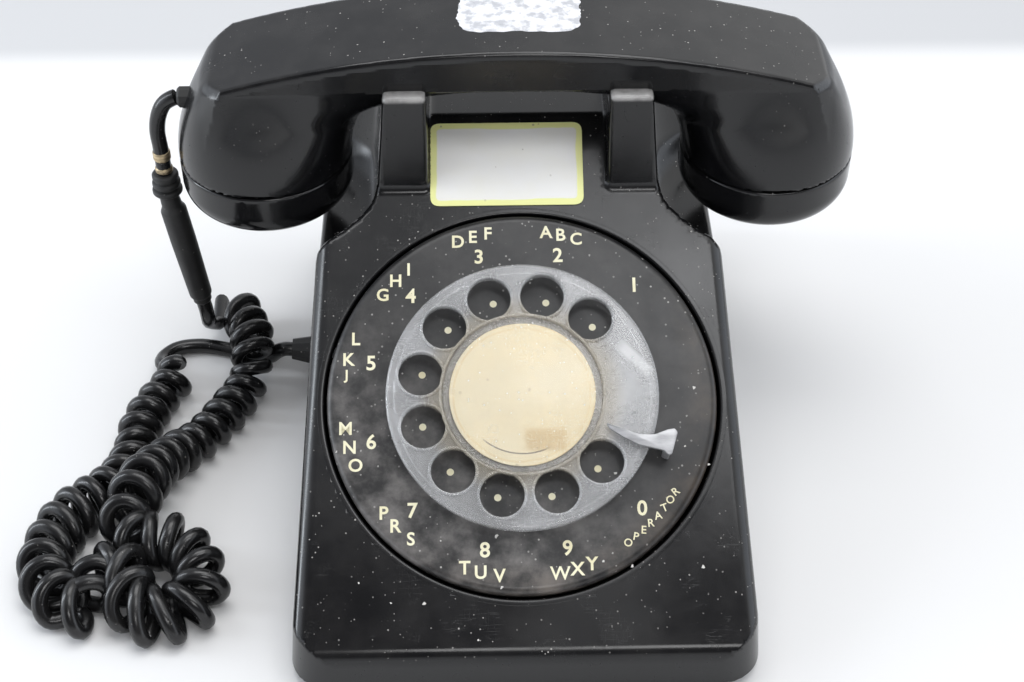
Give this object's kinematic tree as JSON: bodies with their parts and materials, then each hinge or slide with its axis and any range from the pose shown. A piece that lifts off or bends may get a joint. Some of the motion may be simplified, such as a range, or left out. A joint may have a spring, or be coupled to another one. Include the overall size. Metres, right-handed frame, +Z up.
{
  "type": "rotary desk telephone",
  "caption": "Black moulded rotary desk telephone with a sloping face, clear finger wheel, arched handset in an eared cradle and a curly cord.",
  "frame": {"origin": "on the surface it stands on, under the middle of the housing and handset", "axes": "+X to the viewer's right, +Y away from the viewer, +Z up"},
  "size_m": [0.257, 0.2096, 0.1345],
  "materials": {
    "black_plastic": "polished, worn, with fine dust",
    "clear_plastic": "clear acrylic, fine scratches",
    "card": "aged cream card",
    "stop_metal": "satin",
    "steel": "plated",
    "tray_paint": "black paint",
    "brass": "dull",
    "coil_wrap": "wrapped wire",
    "phenolic": "moulded",
    "rubber": "matte",
    "cord_jacket": "smooth, half gloss"
  },
  "bodies": {
    "base": {"housing": "black_plastic", "number_plate": "black_plastic", "cradle_label": "card", "finger_stop": "stop_metal", "dial_frame": "steel", "dial_rear_plate": "steel", "governor_cup": "steel", "return_spring": "steel", "dial_bracket_left": "steel", "dial_bracket_right": "steel", "hookswitch_bracket": "steel", "ringer_frame": "steel", "housing_screw_front": "steel", "housing_screw_rear": "steel", "base_plate": "tray_paint", "dial_contacts": "brass", "hook_contacts": "brass", "gong_left": "brass", "gong_right": "brass", "ringer_coil_left": "coil_wrap", "ringer_coil_right": "coil_wrap", "network_block": "phenolic", "foot_front_left": "rubber", "foot_front_right": "rubber", "foot_rear_left": "rubber", "foot_rear_right": "rubber", "line_inlet": "rubber", "base_relief": "rubber", "cord_tail": "cord_jacket", "cord_coil_b": "cord_jacket", "cord_bundle": "cord_jacket", "cord_coil_a": "cord_jacket", "base_lead": "cord_jacket"},
    "handset": {"handset_handle": "black_plastic", "transmitter_cap": "black_plastic", "receiver_cap": "black_plastic", "transmitter_unit": "steel", "receiver_unit": "steel", "cord_bushing": "rubber", "handset_lead": "cord_jacket", "lead_collar": "brass", "lead_grommet": "rubber", "lead_sleeve": "rubber"},
    "dial_wheel": {"finger_wheel": "clear_plastic", "number_card": "card", "card_window": "clear_plastic", "dial_shaft": "steel", "main_gear": "brass"},
    "pulse": {"pulse_shaft": "brass"},
    "governor": {"governor": "brass"},
    "plunger_left": {"plunger_left": "black_plastic"},
    "plunger_right": {"plunger_right": "black_plastic"},
    "hook_lever": {"hook_lever": "steel"},
    "clapper": {"clapper": "steel"}
  },
  "joints": [
    {"name": "handset_lift", "type": "slide", "parent": "base", "child": "handset", "axis": [0, 0, 1], "range_m": [0, 0.05]},
    {"name": "plunger_left_rise", "type": "slide", "parent": "base", "child": "plunger_left", "axis": [0, 0, 1], "range_m": [0, 0.005]},
    {"name": "plunger_right_rise", "type": "slide", "parent": "base", "child": "plunger_right", "axis": [0, 0, 1], "range_m": [0, 0.005]},
    {"name": "hook_lever_turn", "type": "hinge", "parent": "base", "child": "hook_lever", "pos_m": [0, 0.024, 0.084], "axis": [1, 0, 0], "range_deg": [0, 13.8]},
    {"name": "dial_turn", "type": "hinge", "parent": "base", "child": "dial_wheel", "pos_m": [0, -0.0409, 0.05625], "axis": [0, -0.5165, 0.8563], "range_deg": [-330, 0], "stiffness_Nm_per_rad": 0.01, "springref_deg": 85.94},
    {"name": "pulse_turn", "type": "hinge", "parent": "base", "child": "pulse", "pos_m": [-0.02212, -0.04667, 0.03584], "axis": [0, -0.5165, 0.8563], "range_deg": [0, 1320]},
    {"name": "governor_turn", "type": "hinge", "parent": "base", "child": "governor", "pos_m": [-0.01372, -0.05706, 0.0249], "axis": [0, -0.5165, 0.8563], "range_deg": [-3960, 0]},
    {"name": "clapper_swing", "type": "hinge", "parent": "base", "child": "clapper", "pos_m": [0, 0.077, 0.0405], "axis": [0, 0, 1], "range_deg": [-2.4, 2.4]}
  ],
  "couplings": [
    {"joint": "plunger_left_rise", "follows": "handset_lift", "ratio": 0.1},
    {"joint": "plunger_right_rise", "follows": "handset_lift", "ratio": 0.1},
    {"joint": "hook_lever_turn", "follows": "handset_lift", "rad_per_m": 4.8},
    {"joint": "pulse_turn", "follows": "dial_turn", "ratio": -4},
    {"joint": "governor_turn", "follows": "dial_turn", "ratio": 12}
  ]
}
